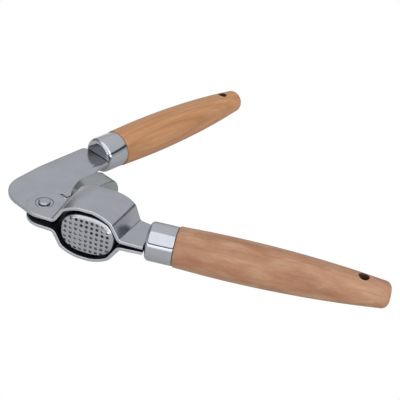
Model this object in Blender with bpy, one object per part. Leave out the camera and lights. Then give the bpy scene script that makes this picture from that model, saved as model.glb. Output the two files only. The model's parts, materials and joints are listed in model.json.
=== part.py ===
"""Garlic press with a pivoting plunger, a perforated cup and two turned wooden handles.

The press lies on its side. The origin is the middle of the flat land on the crest of the lower
shell, straight below the cup. +Z runs up along the hinge axis, +X along the head towards the
front handle, and the perforated face of the cup looks along -Y. Units are metres.
"""
from math import atan2, cos, pi, radians, sin, sqrt, tan

import bmesh
import bpy
from mathutils import Matrix, Vector

MM = 0.001
GAP = 0.3 * MM                       # clearance between pieces that touch

# Pressed front strips, one above and one below the cup
SHEET = 1.8 * MM
EAR_RADIUS = 12.1 * MM
EAR_X = 2.9 * MM                     # centre of the ear's rounded end, past the hinge axis
HEEL_RADIUS = 12.05 * MM             # the ear's back edge, about the hinge axis
HEEL_START = 1.0 * MM
EAR_Z = 4.0 * MM                     # outer face of each hinge ear
STRIP_FRONT = -12.6 * MM             # y of the edge beside the perforated face
STRIP_BACK = 11.5 * MM
NOTCH_X = 8.3 * MM                   # where the heel steps out to the strip's edge
CREST_RADIUS = 24.4 * MM
CREST_X = 28.8 * MM
CREST_DROP = 7.95 * MM               # centre of the crest's curve lies this far past mid-plane
CREST_START = radians(-28)
CREST_END = radians(33)
LAND_HALF_ANGLE = radians(8)
NEAR_RAMP_POINT = (12.4 * MM, 7.7 * MM)
NEAR_RAMP_ANGLE = radians(60)
RAMP_TOP = (43.9 * MM, 10.9 * MM)
RAMP_ANGLE = radians(59)
SHOULDER_RADIUS = 6 * MM
TANG_FOLD_Z = 3.05 * MM
TANG_Z = 2.6 * MM
TANG_LENGTH = 61.3 * MM

# Hinge, in a frame whose origin is on the hinge axis
HINGE = Vector((-CREST_X, -(STRIP_FRONT + STRIP_BACK) / 2,
                CREST_RADIUS * cos(LAND_HALF_ANGLE) - CREST_DROP))
RIVET_RADIUS = 2.0 * MM
RIVET_HEAD_RADIUS = 3.3 * MM
RIVET_HEAD_HEIGHT = 1.4 * MM
SEAT_RADIUS = 5.1 * MM
SEAT_DEPTH = 0.65 * MM
BUSH_OUTER = 3.9 * MM
SPACER_RADIUS = 8.0 * MM

# Perforated cup
CUP_X = 30.1 * MM
CUP_FACE = -13.0 * MM
CUP_MOUTH = 4.5 * MM
CUP_HALF_WIDTH = 15.2 * MM
CUP_HALF_HEIGHT = 12.2 * MM
CUP_WALL = 0.8 * MM
CUP_DRAFT = 1.4 * MM                 # the far wall leans out; centre and half width both grow by this
HOLE_PITCH = 2.98 * MM
HOLE_RADIUS = 0.85 * MM
HOLE_COLUMNS = 9
HOLE_ROWS = 7

# Handles
FRONT_ANGLE = radians(5.28)
REAR_ANGLE = radians(64.84)
FRONT_OFFSET = -6.66 * MM            # handle axis to hinge axis, square to the handle
REAR_OFFSET = 23.9 * MM
FERRULE_START = 60.3 * MM            # along the handle axis, from the hinge
WOOD_START = 75.65 * MM
WOOD_LENGTH = 113.5 * MM
FERRULE_RADIUS = 10.67 * MM
FERRULE_WALL = 1.0 * MM
FERRULE_NOSE = 2.4 * MM
WOOD_RADII = (11.1, 11.78, 11.72, 10.9, 9.32, 6.95)      # mm, at even steps along the wood
WOOD_END_RADIUS = 4.0 * MM
HANG_HOLE_RADIUS = 2.65 * MM
HANG_HOLE_FROM_END = 15.3 * MM
TONGUE_HALF_WIDTH = 7.0 * MM
TONGUE_LENGTH = 6.2 * MM
ROD_RADIUS = 2.5 * MM
ROD_LENGTH = 48.0 * MM

# Rear plate and plunger, along (a) and square to (n) the rear handle, from the hinge
PLATE_HALF = 0.95 * MM
PIVOT_A = 30.0 * MM
PIVOT_N = -4.0 * MM
PLUNGER_FACE = -12.5 * MM
PLUNGER_BACK = -1.0 * MM
PLUNGER_NEAR = 16.5 * MM
PLUNGER_NEAR_BACK = 17.5 * MM
PLUNGER_FAR = 44.0 * MM
PLUNGER_HALF_HEIGHT = 10.9 * MM
PLUNGER_WALL = 1.0 * MM
BRACKET_SHEET = 1.5 * MM
PIN_RADIUS = 1.5 * MM

STEEL = ("polished_steel", (0.62, 0.63, 0.65, 1), 0.16, 1.0)
BRUSHED = ("brushed_steel", (0.52, 0.53, 0.55, 1), 0.3, 1.0)
PINK_WOOD = ("front_wood", (0.46, 0.26, 0.15, 1), 0.45, 0.0)
TAN_WOOD = ("rear_wood", (0.50, 0.27, 0.12, 1), 0.45, 0.0)


def clear_scene():
    for obj in list(bpy.data.objects):
        bpy.data.objects.remove(obj, do_unlink=True)


def material(recipe):
    name, colour, roughness, metallic = recipe
    mat = bpy.data.materials.get(name) or bpy.data.materials.new(name)
    mat.use_nodes = True
    shader = mat.node_tree.nodes["Principled BSDF"]
    shader.inputs["Base Color"].default_value = colour
    shader.inputs["Roughness"].default_value = roughness
    shader.inputs["Metallic"].default_value = metallic
    return mat


def empty(name, location, angle=0.0, parent=None):
    obj = bpy.data.objects.new(name, None)
    bpy.context.collection.objects.link(obj)
    obj.parent = parent
    obj.location = location
    obj.rotation_euler = (0, 0, angle)
    return obj


def add_object(name, bm, recipe, parent, sharp_angle=radians(35)):
    bmesh.ops.recalc_face_normals(bm, faces=bm.faces)
    mesh = bpy.data.meshes.new(name)
    bm.to_mesh(mesh)
    bm.free()
    obj = bpy.data.objects.new(name, mesh)
    bpy.context.collection.objects.link(obj)
    obj.parent = parent
    mesh.shade_smooth()
    mesh.set_sharp_from_angle(angle=sharp_angle)
    mesh.materials.append(material(recipe))
    return obj


def loft(rings):
    """A closed body through rings with equal numbers of points, capped at both ends."""
    bm = bmesh.new()
    loops = [[bm.verts.new(point) for point in ring] for ring in rings]
    count = len(loops[0])
    for lower, upper in zip(loops, loops[1:]):
        for i in range(count):
            j = (i + 1) % count
            bm.faces.new((lower[i], lower[j], upper[j], upper[i]))
    bm.faces.new(loops[0])
    bm.faces.new(loops[-1])
    return bm


def turned(profile, steps=32):
    """A solid of revolution about X, from (x, radius) pairs."""
    angles = [2 * pi * i / steps for i in range(steps)]
    return loft([[(x, r * cos(t), r * sin(t)) for t in angles] for x, r in profile])


def turned_upright(profile, steps=24):
    """A solid of revolution about Z, from (z, radius) pairs."""
    angles = [2 * pi * (i + 0.5) / steps for i in range(steps)]
    return loft([[(r * cos(t), r * sin(t), z) for t in angles] for z, r in profile])


def tube_upright(inner, outer, bottom, top, steps=28):
    """A plain ring about Z with a bore."""
    bm = bmesh.new()
    corners = ((inner, bottom), (outer, bottom), (outer, top), (inner, top))
    loops = [[bm.verts.new((r * cos(t), r * sin(t), z)) for t in (2 * pi * i / steps for i in range(steps))]
             for r, z in corners]
    for k in range(4):
        first, second = loops[k], loops[(k + 1) % 4]
        for i in range(steps):
            j = (i + 1) % steps
            bm.faces.new((first[i], first[j], second[j], second[i]))
    return bm


def plate(outline, bottom, top):
    """A flat plate from an outline in X and Y."""
    return loft([[(x, y, z) for x, y in outline] for z in (bottom, top)])


def box(low, high):
    bm = bmesh.new()
    bmesh.ops.create_cube(bm, size=1.0)
    centre = (Vector(low) + Vector(high)) / 2
    size = Vector(high) - Vector(low)
    bmesh.ops.transform(bm, matrix=Matrix.Translation(centre) @ Matrix.Diagonal((*size, 1)), verts=bm.verts)
    return bm


def arc(centre, radius, start, end, steps):
    """Points along an arc in a plane, both ends included."""
    angles = [start + (end - start) * i / steps for i in range(steps + 1)]
    return [(centre[0] + radius * cos(t), centre[1] + radius * sin(t)) for t in angles]


def fillet(before, corner, after, radius, steps=4):
    """The rounded corner between two straight runs, as points."""
    corner = Vector(corner)
    back = (Vector(before) - corner).normalized()
    ahead = (Vector(after) - corner).normalized()
    half = back.angle(ahead) / 2
    centre = corner + (back + ahead).normalized() * radius / sin(half)
    start = corner + back * radius / tan(half) - centre
    end = corner + ahead * radius / tan(half) - centre
    first = atan2(start.y, start.x)
    sweep = (atan2(end.y, end.x) - first + pi) % (2 * pi) - pi
    return arc(centre, radius, first, first + sweep, steps)


def rounded(corners, steps=4):
    """A closed outline from (x, y, radius) corners."""
    points = []
    for i, (x, y, radius) in enumerate(corners):
        before, after = corners[i - 1][:2], corners[(i + 1) % len(corners)][:2]
        points += fillet(before, (x, y), after, radius, steps) if radius else [(x, y)]
    return points


def oval(centre_x, half_width, half_height, steps=48, power=2.5):
    """A superellipse in X and Z, as (x, z) pairs."""
    points = []
    for i in range(steps):
        t = 2 * pi * i / steps
        reach = (abs(cos(t) / half_width) ** power + abs(sin(t) / half_height) ** power) ** (-1 / power)
        points.append((centre_x + reach * cos(t), reach * sin(t)))
    return points


def cut(target, cutter_bm, name, parent):
    """Cuts the shape away with an exact Boolean."""
    cutter = add_object(name, cutter_bm, BRUSHED, parent)
    cutter.hide_render = True
    cutter.display_type = "WIRE"
    modifier = target.modifiers.new(name, "BOOLEAN")
    modifier.operation = "DIFFERENCE"
    modifier.solver = "EXACT"
    modifier.object = cutter


# ---------------------------------------------------------------- front strips

def strip_profile():
    """The strip's outer line in X and Z, from the ear's tip to the tongue's end."""
    crest = (CREST_X, -CREST_DROP)
    up = pi / 2
    left = arc(crest, CREST_RADIUS, up - CREST_START, up + LAND_HALF_ANGLE, 7)
    right = arc(crest, CREST_RADIUS, up - LAND_HALF_ANGLE, up - CREST_END, 8)
    near_fold = crossing(NEAR_RAMP_POINT, NEAR_RAMP_ANGLE, (0, EAR_Z), 0)
    near_shoulder = crossing(NEAR_RAMP_POINT, NEAR_RAMP_ANGLE, left[0], -CREST_START)
    far_shoulder = crossing(right[-1], -CREST_END, RAMP_TOP, -RAMP_ANGLE)
    tang_fold = crossing(RAMP_TOP, -RAMP_ANGLE, (0, TANG_FOLD_Z), 0)
    tang_end = (TANG_LENGTH, TANG_Z)
    tip = arc((EAR_X, 0), EAR_RADIUS, pi - radians(8), pi / 2, 12)
    line = [(x, EAR_Z) for x, _ in tip]
    line += fillet(line[-1], near_fold, near_shoulder, 2.5 * MM)
    line += fillet(near_fold, near_shoulder, left[0], SHOULDER_RADIUS, 4) + left + right
    line += fillet(right[-1], far_shoulder, tang_fold, SHOULDER_RADIUS, 4)
    line += fillet(far_shoulder, tang_fold, tang_end, 2 * MM)
    return line + [tang_end]


def crossing(first, first_slope, second, second_slope):
    """Where two straight lines meet, each given by a point and its slope angle."""
    run = Vector((cos(first_slope), sin(first_slope)))
    other = Vector((cos(second_slope), sin(second_slope)))
    offset = Vector(second) - Vector(first)
    along = (offset.x * other.y - offset.y * other.x) / (run.x * other.y - run.y * other.x)
    return tuple(Vector(first) + run * along)


def blend(x, stops):
    """Straight runs between (x, value) stops."""
    for (x0, v0), (x1, v1) in zip(stops, stops[1:]):
        if x <= x1:
            return v0 + (v1 - v0) * (x - x0) / (x1 - x0)
    return stops[-1][1]


def ear_half_width(x):
    return sqrt(EAR_RADIUS ** 2 - (x - EAR_X) ** 2)


def strip_front_edge(x):
    if x < EAR_X:
        return -ear_half_width(x)
    return blend(x, ((EAR_X, -EAR_RADIUS), (14 * MM, STRIP_FRONT), (50 * MM, STRIP_FRONT),
                     (TANG_LENGTH, -11.7 * MM)))


def strip_back_edge(x):
    if x < HEEL_START:
        return ear_half_width(x)
    if x < NOTCH_X:
        return sqrt(HEEL_RADIUS ** 2 - x ** 2)
    return blend(x, ((NOTCH_X, 8.8 * MM), (NOTCH_X + 1.2 * MM, STRIP_BACK), (40 * MM, STRIP_BACK),
                     (50 * MM, 10.2 * MM), (TANG_LENGTH, 9.5 * MM)))


def strip_back_shift(x):
    """The far end of the strip splays towards the back, as the cup behind it does."""
    return blend(x, ((EAR_X - EAR_RADIUS, 0), (26 * MM, 0), (34 * MM, 5.2 * MM), (46 * MM, 4.6 * MM),
                     (49 * MM, 3.4 * MM), (TANG_LENGTH, -1.95 * MM)))


def front_shell(name, side, hinge):
    """One pressed strip; side is +1 above the cup and -1 below it."""
    line = [Vector(point) for point in strip_profile()]
    rings = []
    for i, point in enumerate(line):
        before = (point - line[i - 1]).normalized() if i else None
        after = (line[i + 1] - point).normalized() if i + 1 < len(line) else before
        before = before or after
        along = (before + after).normalized()
        depth = SHEET / before.dot(along)
        inner = point + Vector((along.y, -along.x)) * depth
        front, back = strip_front_edge(point.x), strip_back_edge(point.x)
        shift = strip_back_shift(point.x)
        rings.append([(point.x, front, side * point.y), (point.x + shift, back, side * point.y),
                      (inner.x + shift, back, side * inner.y), (inner.x, front, side * inner.y)])
    obj = add_object(name, loft(rings), STEEL, hinge)
    low, high = sorted((side * (EAR_Z - SHEET - 1 * MM), side * (EAR_Z + 1 * MM)))
    cut(obj, turned_upright(((low, RIVET_RADIUS + GAP), (high, RIVET_RADIUS + GAP))), name + "_bore", hinge)
    low, high = sorted((side * (EAR_Z - SEAT_DEPTH), side * (EAR_Z + 1 * MM)))
    cut(obj, turned_upright(((low, SEAT_RADIUS), (high, SEAT_RADIUS))), name + "_seat", hinge)
    return obj


def front_tongue(name, side, handle):
    """The narrow end of a strip, welded on and held inside the ferrule."""
    low, high = sorted((side * (TANG_Z - SHEET), side * TANG_Z))
    outline = rounded(((FERRULE_START, -TONGUE_HALF_WIDTH, 0),
                       (FERRULE_START + TONGUE_LENGTH, -TONGUE_HALF_WIDTH, 1.5 * MM),
                       (FERRULE_START + TONGUE_LENGTH, TONGUE_HALF_WIDTH, 1.5 * MM),
                       (FERRULE_START, TONGUE_HALF_WIDTH, 0)))
    return add_object(name, plate(outline, low, high), BRUSHED, handle)


# ---------------------------------------------------------------- perforated cup

def cup_section(depth, inset):
    """The cup's outline at a depth of 0 (face) to 1 (mouth), drawn in by the inset."""
    spread = CUP_DRAFT * depth
    return oval(CUP_X + spread, CUP_HALF_WIDTH + spread - inset, CUP_HALF_HEIGHT - inset)


def cup_ring(y, inset):
    depth = (y - CUP_FACE) / (CUP_MOUTH - CUP_FACE)
    return [(x, y, z) for x, z in cup_section(depth, inset)]


def hole_positions():
    """The square grid of perforations, without the four corners."""
    for column in range(HOLE_COLUMNS):
        for row in range(HOLE_ROWS):
            corner = column in (0, HOLE_COLUMNS - 1) and row in (0, HOLE_ROWS - 1)
            if not corner:
                yield (CUP_X + (column - (HOLE_COLUMNS - 1) / 2) * HOLE_PITCH,
                       (row - (HOLE_ROWS - 1) / 2) * HOLE_PITCH)


def perforations(steps=8):
    """All the hole cutters as one set of short rods along Y."""
    bm = bmesh.new()
    for x, z in hole_positions():
        ring = [(x + HOLE_RADIUS * cos(2 * pi * i / steps), z + HOLE_RADIUS * sin(2 * pi * i / steps))
                for i in range(steps)]
        near = [bm.verts.new((px, CUP_FACE - 1 * MM, pz)) for px, pz in ring]
        far = [bm.verts.new((px, CUP_FACE + CUP_WALL + 1 * MM, pz)) for px, pz in ring]
        bm.faces.new(near)
        bm.faces.new(far)
        for i in range(steps):
            j = (i + 1) % steps
            bm.faces.new((near[i], near[j], far[j], far[i]))
    return bm


def strainer_cup(hinge):
    bend = 1.8 * MM
    inner_bend = bend - CUP_WALL
    floor = CUP_FACE + CUP_WALL
    outer = [cup_ring(CUP_FACE + bend * (1 - cos(t)), bend * (1 - sin(t)))
             for t in (radians(a) for a in (0, 22.5, 45, 67.5, 90))]
    outer += [cup_ring(y, 0) for y in (-3 * MM, CUP_MOUTH - 0.3 * MM)]
    lip = [cup_ring(CUP_MOUTH, 0.3 * MM), cup_ring(CUP_MOUTH, CUP_WALL)]
    inner = [cup_ring(-3 * MM, CUP_WALL)]
    inner += [cup_ring(floor + inner_bend * (1 - cos(t)), CUP_WALL + inner_bend * (1 - sin(t)))
              for t in (radians(a) for a in (90, 45, 0))]
    obj = add_object("strainer_cup", loft(outer + lip + inner), STEEL, hinge)
    cut(obj, perforations(), "perforations", hinge)
    return obj


# ---------------------------------------------------------------- handles

def ferrule(name, handle, slot_half_height):
    """A drawn cap whose end wall is slotted for the tongue; the wood's spigot fills the open end."""
    end = WOOD_START - GAP / 2
    inner = FERRULE_RADIUS - FERRULE_WALL
    nose = arc((FERRULE_START + FERRULE_NOSE, FERRULE_RADIUS - FERRULE_NOSE), FERRULE_NOSE, pi, pi / 2, 4)
    inner_nose = FERRULE_NOSE - FERRULE_WALL
    hollow = arc((FERRULE_START + FERRULE_NOSE, inner - inner_nose), inner_nose, pi / 2, pi, 3)
    rim = 0.3 * MM
    lip = [(end - rim, FERRULE_RADIUS), (end, FERRULE_RADIUS - rim), (end, inner)]
    profile = nose + lip + hollow
    obj = add_object(name, turned(profile, 36), STEEL, handle)
    width = TONGUE_HALF_WIDTH + GAP
    slot = box((FERRULE_START - 1 * MM, -width, -slot_half_height),
               (FERRULE_START + FERRULE_WALL + 1 * MM, width, slot_half_height))
    cut(obj, slot, name + "_slot", handle)
    return obj


def wood_radius(t):
    """The turned profile, a smooth curve through its radii; t runs from 0 to 1."""
    last = len(WOOD_RADII) - 1
    i = min(int(t * last), last - 1)
    u = t * last - i
    p1, p2 = WOOD_RADII[i], WOOD_RADII[i + 1]
    p0 = WOOD_RADII[i - 1] if i else 2 * p1 - p2
    p3 = WOOD_RADII[i + 2] if i + 2 <= last else 2 * p2 - p1
    slope1, slope2 = (p2 - p0) / 2, (p3 - p1) / 2
    value = ((2 * u ** 3 - 3 * u ** 2 + 1) * p1 + (u ** 3 - 2 * u ** 2 + u) * slope1
             + (3 * u ** 2 - 2 * u ** 3) * p2 + (u ** 3 - u ** 2) * slope2)
    return value * MM


def wooden_handle(name, recipe, handle):
    """The turned grip: spigot, shoulder at the ferrule, belly, rounded end, blind bore for the rod."""
    spigot = FERRULE_RADIUS - FERRULE_WALL - GAP
    spigot_start = FERRULE_START + FERRULE_WALL + TONGUE_LENGTH + 2 * MM
    start = WOOD_START + GAP / 2
    bore = ROD_RADIUS + GAP
    bore_end = rod_start() + ROD_LENGTH + GAP
    body_end = 1 - WOOD_END_RADIUS / WOOD_LENGTH
    body = [(start + 0.5 * MM + (WOOD_LENGTH * body_end - 0.5 * MM) * i / 15) for i in range(16)]
    profile = [(bore_end, bore), (spigot_start, bore), (spigot_start, spigot), (start, spigot),
               (start, wood_radius(0) - 0.4 * MM)]
    profile += [(x, wood_radius((x - start) / WOOD_LENGTH)) for x in body]
    last = profile[-1]
    profile += [(last[0] + WOOD_END_RADIUS * sin(t), last[1] - WOOD_END_RADIUS * (1 - cos(t)))
                for t in (radians(a) for a in (18, 36, 54, 72, 90))]
    obj = add_object(name, turned(profile), recipe, handle)
    hole_x = start + WOOD_LENGTH - HANG_HOLE_FROM_END
    hole = turned_upright(((-15 * MM, HANG_HOLE_RADIUS), (15 * MM, HANG_HOLE_RADIUS)), 20)
    bmesh.ops.translate(hole, verts=hole.verts, vec=(hole_x, 0, 0))
    cut(obj, hole, name + "_hanging_hole", handle)
    return obj


def rod_start():
    return FERRULE_START + FERRULE_WALL + TONGUE_LENGTH


def tang_rod(name, handle):
    """The steel rod that runs from the tongue into the wood."""
    start = rod_start()
    chamfer = 0.6 * MM
    profile = ((start, ROD_RADIUS - chamfer), (start + chamfer, ROD_RADIUS),
               (start + ROD_LENGTH - chamfer, ROD_RADIUS), (start + ROD_LENGTH, ROD_RADIUS - chamfer))
    return add_object(name, turned(profile, 20), BRUSHED, handle)


# ---------------------------------------------------------------- rear plate and plunger

def rear_plate_outline():
    """The flat lever in (a, n): hub, plunger lug, tongue for the ferrule and the broad outer edge."""
    tongue = (REAR_OFFSET - TONGUE_HALF_WIDTH, REAR_OFFSET + TONGUE_HALF_WIDTH)
    shoulder = FERRULE_START - GAP
    end = FERRULE_START + TONGUE_LENGTH
    cup_slot = ((12.8 * MM, -1.2 * MM, 1.5 * MM), (13.6 * MM, 4.8 * MM, 0.8 * MM),
                (16.2 * MM, 4.8 * MM, 0.8 * MM), (16.6 * MM, 0.2 * MM, 0.6 * MM),
                (20.6 * MM, 0.2 * MM, 1 * MM))
    inner = cup_slot + ((25.0 * MM, -8.6 * MM, 4 * MM), (35.0 * MM, -8.6 * MM, 4 * MM),
                        (41.0 * MM, 8.0 * MM, 6 * MM), (52.0 * MM, 12.6 * MM, 8 * MM),
                        (shoulder, 13.9 * MM, 0.8 * MM))
    tip = ((shoulder, tongue[0], 0), (end, tongue[0], 1.5 * MM), (end, tongue[1], 1.5 * MM),
           (shoulder, tongue[1], 0))
    outer = ((shoulder, 35.3 * MM, 2.6 * MM), (24.0 * MM, 34.2 * MM, 60 * MM),
             (-8.6 * MM, 29.7 * MM, 18 * MM))
    hub = tuple((*point, 0) for point in arc((0, 0), 8.9 * MM, radians(176), radians(352), 16))
    return rounded(inner + tip + outer + hub)


def rear_plate(arm):
    obj = add_object("rear_plate", plate(rear_plate_outline(), -PLATE_HALF, PLATE_HALF), STEEL, arm)
    reach = PLATE_HALF + 1 * MM
    cut(obj, turned_upright(((-reach, BUSH_OUTER + GAP), (reach, BUSH_OUTER + GAP))), "plate_hinge_bore", arm)
    bore = turned_upright(((-reach, PIN_RADIUS + GAP), (reach, PIN_RADIUS + GAP)), 20)
    bmesh.ops.translate(bore, verts=bore.verts, vec=(PIVOT_A, PIVOT_N, 0))
    cut(obj, bore, "plate_plunger_bore", arm)
    return obj


def plunger_ring(n, inset):
    """The plunger's outline at one height, about the pivot."""
    depth = (n - PLUNGER_FACE) / (PLUNGER_BACK - PLUNGER_FACE)
    near = PLUNGER_NEAR + (PLUNGER_NEAR_BACK - PLUNGER_NEAR) * max(depth, 0)
    centre = (near + PLUNGER_FAR) / 2
    section = oval(centre, (PLUNGER_FAR - near) / 2 - inset, PLUNGER_HALF_HEIGHT - inset, 40)
    return [(a - PIVOT_A, n - PIVOT_N, z) for a, z in section]


def plunger_cap(pivot):
    """The drawn pressing cap, open towards the lever."""
    bend = 1.5 * MM
    floor = PLUNGER_FACE + PLUNGER_WALL
    outer = [plunger_ring(PLUNGER_FACE + bend * (1 - cos(t)), bend * (1 - sin(t)))
             for t in (radians(a) for a in (0, 30, 60, 90))]
    rim = [plunger_ring(PLUNGER_BACK - 0.3 * MM, 0), plunger_ring(PLUNGER_BACK, 0.3 * MM),
           plunger_ring(PLUNGER_BACK, PLUNGER_WALL)]
    inner = [plunger_ring(floor + 0.5 * MM, PLUNGER_WALL), plunger_ring(floor, PLUNGER_WALL + 0.5 * MM)]
    return add_object("plunger_cap", loft(outer + rim + inner), STEEL, pivot)


def plunger_bracket(pivot):
    """A folded U inside the cap that carries the pivot pin, made as one profile along a."""
    base = PLUNGER_FACE + PLUNGER_WALL + GAP - PIVOT_N
    inside = PLATE_HALF + GAP
    outside = inside + BRACKET_SHEET
    top = 3.6 * MM
    half = 5.5 * MM
    web = base + BRACKET_SHEET
    section = ((-outside, base), (outside, base), (outside, top), (inside, top),
               (inside, web), (-inside, web), (-inside, top), (-outside, top))
    bm = loft([[(a, n, z) for z, n in section] for a in (-half, half)])
    obj = add_object("plunger_bracket", bm, BRUSHED, pivot)
    reach = outside + 1 * MM
    bore = turned_upright(((-reach, PIN_RADIUS + GAP), (reach, PIN_RADIUS + GAP)), 20)
    cut(obj, bore, "bracket_bore", pivot)
    return obj


def plunger_pin(pivot):
    """The pivot pin, headed over at both ends."""
    face = PLATE_HALF + GAP + BRACKET_SHEET + GAP
    head = face + 0.9 * MM
    wide = PIN_RADIUS + 1.0 * MM
    half = ((face, PIN_RADIUS), (face, wide), (head - 0.3 * MM, wide), (head, wide - 0.4 * MM))
    profile = [(-z, r) for z, r in reversed(half)] + list(half)
    return add_object("plunger_pin", turned_upright(profile, 20), BRUSHED, pivot)


# ---------------------------------------------------------------- hinge

def hinge_rivet(hinge):
    """The rivet's shank with a domed head at each end."""
    seat = EAR_Z + GAP
    dome = [(seat + RIVET_HEAD_HEIGHT * sin(t), RIVET_HEAD_RADIUS * cos(t))
            for t in (radians(a) for a in (0, 18, 36, 54, 72, 84))]
    half = [(seat, RIVET_RADIUS)] + dome
    profile = [(-z, r) for z, r in reversed(half)] + half
    return add_object("hinge_rivet", turned_upright(profile), STEEL, hinge)


def hinge_rings(hinge):
    """The bush that spaces the ears, a spacer each side of the lever and a washer in each seat."""
    bush_half = EAR_Z - SHEET - GAP
    bush = tube_upright(RIVET_RADIUS + GAP, BUSH_OUTER, -bush_half, bush_half)
    add_object("hinge_bush", bush, BRUSHED, hinge)
    for side, word in ((1, "top"), (-1, "bottom")):
        low, high = sorted((side * (PLATE_HALF + GAP), side * (EAR_Z - SHEET - GAP)))
        spacer = tube_upright(BUSH_OUTER + GAP, SPACER_RADIUS, low, high)
        add_object("hinge_spacer_" + word, spacer, BRUSHED, hinge)
        low, high = sorted((side * (EAR_Z - SEAT_DEPTH + GAP), side * EAR_Z))
        washer = tube_upright(RIVET_RADIUS + GAP, SEAT_RADIUS - GAP, low, high)
        add_object("hinge_washer_" + word, washer, STEEL, hinge)


def build():
    clear_scene()
    hinge = empty("hinge_axis", HINGE)
    front_place = (-FRONT_OFFSET * sin(FRONT_ANGLE), FRONT_OFFSET * cos(FRONT_ANGLE), 0)
    front_handle = empty("front_handle_axis", front_place, FRONT_ANGLE, hinge)
    arm = empty("rear_arm_axis", (0, 0, 0), REAR_ANGLE, hinge)
    rear_handle = empty("rear_handle_axis", (0, REAR_OFFSET, 0), 0, arm)
    pivot = empty("plunger_axis", (PIVOT_A, PIVOT_N, 0), 0, arm)

    front_shell("front_shell_top", 1, hinge)
    front_shell("front_shell_bottom", -1, hinge)
    front_tongue("front_tongue_top", 1, front_handle)
    front_tongue("front_tongue_bottom", -1, front_handle)
    strainer_cup(hinge)
    hinge_rivet(hinge)
    hinge_rings(hinge)
    ferrule("front_ferrule", front_handle, TANG_Z + GAP)
    wooden_handle("front_handle", PINK_WOOD, front_handle)
    tang_rod("front_tang_rod", front_handle)

    rear_plate(arm)
    ferrule("rear_ferrule", rear_handle, PLATE_HALF + GAP)
    wooden_handle("rear_handle", TAN_WOOD, rear_handle)
    tang_rod("rear_tang_rod", rear_handle)
    plunger_cap(pivot)
    plunger_bracket(pivot)
    plunger_pin(pivot)


build()
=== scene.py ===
"""Looks of a garlic press: polished steel strips, perforated cup, flat lever and two turned wooden handles.

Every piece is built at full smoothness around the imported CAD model, in the same frame and in metres.
"""

import json
from math import acos, atan2, cos, pi, radians, sin, tan

import bmesh
import bpy
from mathutils import Matrix, Vector


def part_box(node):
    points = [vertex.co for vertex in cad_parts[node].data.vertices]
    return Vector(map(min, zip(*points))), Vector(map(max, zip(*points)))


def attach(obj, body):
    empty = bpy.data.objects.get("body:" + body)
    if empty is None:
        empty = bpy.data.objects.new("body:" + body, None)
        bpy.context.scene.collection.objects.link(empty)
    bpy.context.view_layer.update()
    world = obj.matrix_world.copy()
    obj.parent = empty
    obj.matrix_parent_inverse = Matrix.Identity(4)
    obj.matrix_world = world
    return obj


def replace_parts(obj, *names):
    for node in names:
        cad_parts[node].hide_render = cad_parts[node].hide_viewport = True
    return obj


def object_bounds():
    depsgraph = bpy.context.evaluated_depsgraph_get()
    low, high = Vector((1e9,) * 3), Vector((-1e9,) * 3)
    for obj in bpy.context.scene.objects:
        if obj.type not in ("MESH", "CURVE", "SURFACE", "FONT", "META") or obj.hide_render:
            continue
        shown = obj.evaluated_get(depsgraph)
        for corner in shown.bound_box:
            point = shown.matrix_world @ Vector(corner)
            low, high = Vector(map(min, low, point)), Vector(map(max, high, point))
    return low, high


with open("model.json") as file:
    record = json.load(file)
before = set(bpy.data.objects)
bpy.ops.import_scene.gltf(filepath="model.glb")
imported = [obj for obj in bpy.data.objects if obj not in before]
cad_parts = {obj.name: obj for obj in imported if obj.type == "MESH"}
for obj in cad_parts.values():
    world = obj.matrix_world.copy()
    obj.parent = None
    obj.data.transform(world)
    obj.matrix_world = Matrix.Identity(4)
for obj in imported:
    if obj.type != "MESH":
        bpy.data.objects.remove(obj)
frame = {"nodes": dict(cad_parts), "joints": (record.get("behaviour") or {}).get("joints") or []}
cad_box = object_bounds()

MM = 0.001
GAP = 0.3 * MM                       # clearance between pieces that touch
EDGE = 0.35 * MM                     # softened edge of cut sheet

# Pressed front strips, in millimetres from the hinge axis
SHEET = 1.8
EAR_RADIUS = 12.1
EAR_X = 2.9                          # centre of the ear's rounded end
HEEL_RADIUS = 12.05                  # the ear's back edge, about the hinge axis
HEEL_START = 1.0
EAR_Z = 4.0
STRIP_FRONT = -12.6
STRIP_BACK = 11.5
NOTCH_X = 8.3
CREST_RADIUS = 24.4
CREST = (28.8, -7.95)
CREST_START = radians(-28)
CREST_END = radians(33)
LAND_HALF_ANGLE = radians(8)
NEAR_RAMP_POINT = (12.4, 7.7)
NEAR_RAMP_ANGLE = radians(60)
RAMP_TOP = (43.9, 10.9)
RAMP_ANGLE = radians(59)
SHOULDER_RADIUS = 6.0
TANG_FOLD_Z = 3.05
TANG_Z = 2.6
TANG_LENGTH = 61.3
TANG_FRONT = -11.7
TANG_BACK = 9.5
TAPER_START = 50                     # where both edges start to draw in to the tang
EAR_FOLD_RADIUS = 2.5
TANG_FOLD_RADIUS = 2.0
SEAT_RADIUS = 5.1
SEAT_DEPTH = 0.65

# Hinge
RIVET_SHANK = 2.0 * MM
RIVET_BORE = RIVET_SHANK + GAP
SPACER_BORE = 4.2 * MM

# Perforated cup
CUP_WALL = 0.8 * MM
CUP_DRAFT = 1.4 * MM
CUP_BEND = 2.6 * MM
HOLE_PITCH = 2.98 * MM
HOLE_RADIUS = 0.92 * MM
HOLE_COLUMNS = 9
HOLE_ROWS = 7
OVAL_POWER = 2.5                     # how square the cup and the plunger are; 2 is an ellipse

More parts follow.
